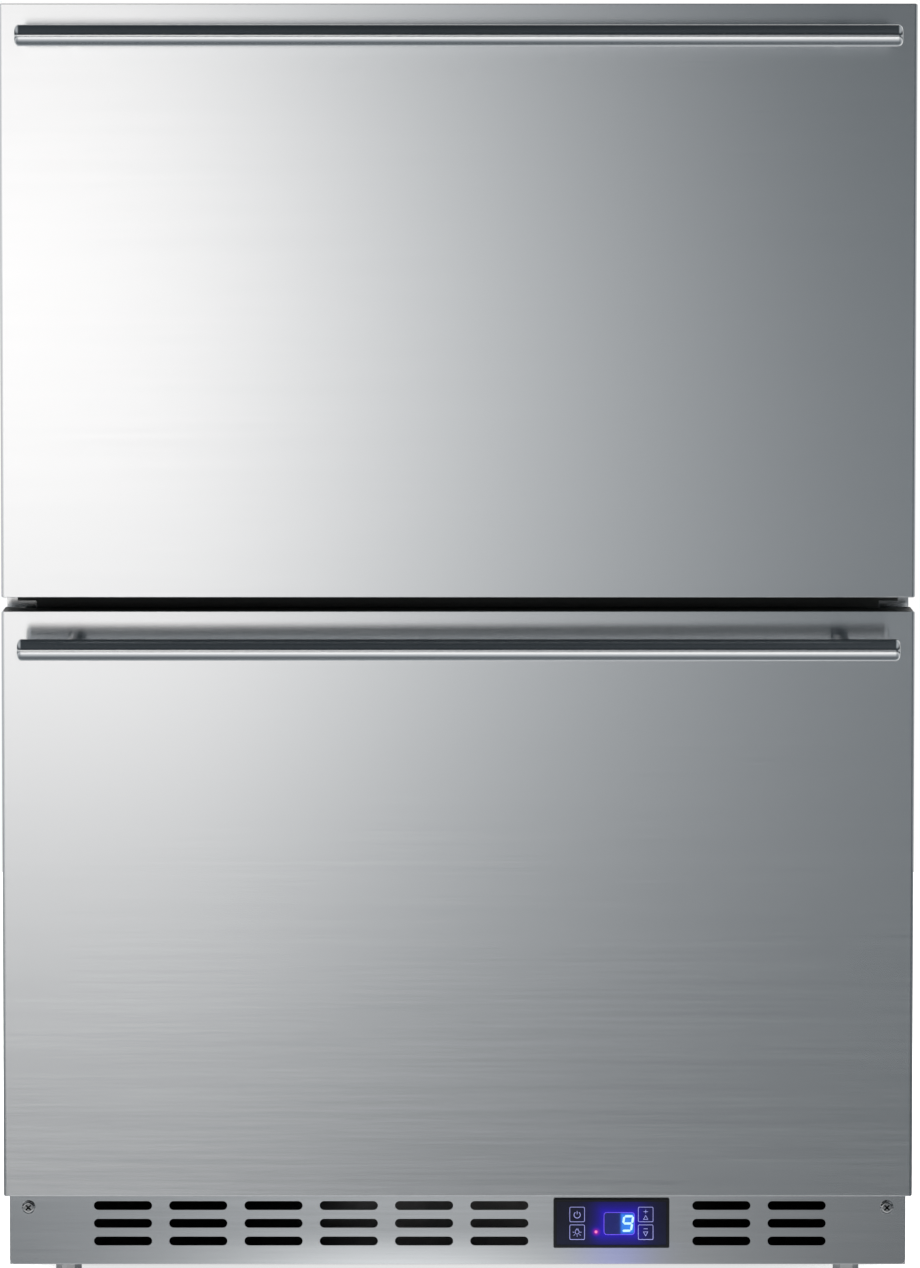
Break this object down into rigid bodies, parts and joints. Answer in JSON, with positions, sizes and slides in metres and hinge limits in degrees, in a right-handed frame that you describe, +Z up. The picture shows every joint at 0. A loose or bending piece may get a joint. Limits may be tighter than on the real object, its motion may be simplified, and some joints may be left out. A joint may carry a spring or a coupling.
{
  "type": "undercounter drawer freezer",
  "caption": "Stainless undercounter freezer with two drawers on telescopic slides, round bar handles, and a slotted toe grille holding the display and keys.",
  "frame": {"origin": "on the floor, under the middle of the whole freezer's outer box, handles included", "axes": "+Z up, -Y towards the user who pulls the drawers, +X to that user's right; the drawer fronts and handles face -Y"},
  "size_m": [0.597, 0.66, 0.864],
  "materials": {
    "stainless": "satin",
    "handle_steel": "satin",
    "grille_steel": "satin",
    "flange_steel": "satin",
    "screw_steel": "satin",
    "tub_steel": "satin",
    "slide_steel": "satin",
    "galvanised": "satin",
    "foot_steel": "satin",
    "compressor_black": "gloss",
    "motor_steel": "satin",
    "heater_steel": "satin",
    "condenser_metal": "satin",
    "fin_aluminium": "satin",
    "copper": "satin",
    "dark_caps": "matte",
    "seal_rubber": "matte",
    "grommet_rubber": "matte",
    "white_liner": "satin",
    "foam": "matte",
    "light_diffuser": "satin",
    "black_plastic": "matte",
    "grey_plastic": "matte",
    "fan_plastic": "matte",
    "bezel_black": "gloss",
    "control_face": "gloss",
    "key_face": "gloss",
    "display_black": "gloss",
    "lit_digits": "gloss",
    "circuit_board": "satin"
  },
  "bodies": {
    "cabinet": {"outer_shell": "stainless", "back_panel": "galvanised", "inner_liner": "white_liner", "foam_insulation": "foam", "machine_deck": "galvanised", "centre_mullion": "flange_steel", "interior_lights": "light_diffuser", "fixed_rails": "slide_steel", "base_pan": "galvanised", "toe_grille": "grille_steel", "rear_cover": "galvanised", "cover_screws": "screw_steel", "cord_gland": "black_plastic", "control_housing": "bezel_black", "control_lens": "control_face", "control_board": "circuit_board", "display_module": "display_black", "display_digits": "lit_digits", "compressor": "compressor_black", "compressor_relay_cover": "black_plastic", "compressor_mounts": "grommet_rubber", "condenser_coil": "condenser_metal", "condenser_fan_shroud": "black_plastic", "condenser_fan_motor": "motor_steel", "refrigerant_tubes": "copper", "condensate_drain": "grey_plastic", "power_box": "grey_plastic", "evaporator_coil": "fin_aluminium", "evaporator_cover": "white_liner", "evaporator_fan_motor": "motor_steel", "defrost_heater": "heater_steel", "temperature_sensor": "white_liner"},
    "upper_drawer": {"upper_front_skin": "stainless", "upper_end_caps": "dark_caps", "upper_front_foam": "foam", "upper_inner_panel": "white_liner", "upper_seal": "seal_rubber", "upper_handle": "handle_steel", "upper_tub": "tub_steel", "upper_inner_rails": "slide_steel"},
    "upper_slide_middles": {"upper_middle_rails": "slide_steel"},
    "lower_drawer": {"lower_front_skin": "stainless", "lower_end_caps": "dark_caps", "lower_front_foam": "foam", "lower_inner_panel": "white_liner", "lower_seal": "seal_rubber", "lower_handle": "handle_steel", "lower_tub": "tub_steel", "lower_inner_rails": "slide_steel"},
    "lower_slide_middles": {"lower_middle_rails": "slide_steel"},
    "condenser_fan": {"condenser_fan_blade": "fan_plastic"},
    "evaporator_fan": {"evaporator_fan_blade": "fan_plastic"},
    "power_key": {"key_power": "key_face"},
    "light_key": {"key_light": "key_face"},
    "up_key": {"key_up": "key_face"},
    "down_key": {"key_down": "key_face"},
    "front_left_foot": {"foot_front_left": "foot_steel"},
    "front_right_foot": {"foot_front_right": "foot_steel"},
    "rear_left_foot": {"foot_rear_left": "foot_steel"},
    "rear_right_foot": {"foot_rear_right": "foot_steel"}
  },
  "joints": [
    {"name": "upper_drawer_slide", "type": "slide", "parent": "cabinet", "child": "upper_drawer", "axis": [0, -1, 0], "range_m": [0, 0.4]},
    {"name": "upper_middle_slide", "type": "slide", "parent": "cabinet", "child": "upper_slide_middles", "axis": [0, -1, 0], "range_m": [0, 0.2]},
    {"name": "lower_drawer_slide", "type": "slide", "parent": "cabinet", "child": "lower_drawer", "axis": [0, -1, 0], "range_m": [0, 0.29]},
    {"name": "lower_middle_slide", "type": "slide", "parent": "cabinet", "child": "lower_slide_middles", "axis": [0, -1, 0], "range_m": [0, 0.145]},
    {"name": "condenser_fan_spin", "type": "hinge", "parent": "cabinet", "child": "condenser_fan", "pos_m": [0.163, 0.215, 0.1352], "axis": [1, 0, 0], "continuous": true},
    {"name": "evaporator_fan_spin", "type": "hinge", "parent": "cabinet", "child": "evaporator_fan", "pos_m": [0, 0.219, 0.75], "axis": [0, -1, 0], "continuous": true},
    {"name": "power_key_press", "type": "slide", "parent": "cabinet", "child": "power_key", "axis": [0, 1, 0], "range_m": [0, 0.0004], "stiffness_N_per_m": 800, "springref_m": -0.0005},
    {"name": "light_key_press", "type": "slide", "parent": "cabinet", "child": "light_key", "axis": [0, 1, 0], "range_m": [0, 0.0004], "stiffness_N_per_m": 800, "springref_m": -0.0005},
    {"name": "up_key_press", "type": "slide", "parent": "cabinet", "child": "up_key", "axis": [0, 1, 0], "range_m": [0, 0.0004], "stiffness_N_per_m": 800, "springref_m": -0.0005},
    {"name": "down_key_press", "type": "slide", "parent": "cabinet", "child": "down_key", "axis": [0, 1, 0], "range_m": [0, 0.0004], "stiffness_N_per_m": 800, "springref_m": -0.0005},
    {"name": "front_left_foot_screw", "type": "slide", "parent": "cabinet", "child": "front_left_foot", "axis": [0, 0, -1], "range_m": [0, 0.02]},
    {"name": "front_right_foot_screw", "type": "slide", "parent": "cabinet", "child": "front_right_foot", "axis": [0, 0, -1], "range_m": [0, 0.02]},
    {"name": "rear_left_foot_screw", "type": "slide", "parent": "cabinet", "child": "rear_left_foot", "axis": [0, 0, -1], "range_m": [0, 0.02]},
    {"name": "rear_right_foot_screw", "type": "slide", "parent": "cabinet", "child": "rear_right_foot", "axis": [0, 0, -1], "range_m": [0, 0.02]}
  ],
  "couplings": [
    {"joint": "upper_middle_slide", "follows": "upper_drawer_slide", "ratio": 0.5},
    {"joint": "lower_middle_slide", "follows": "lower_drawer_slide", "ratio": 0.5}
  ]
}
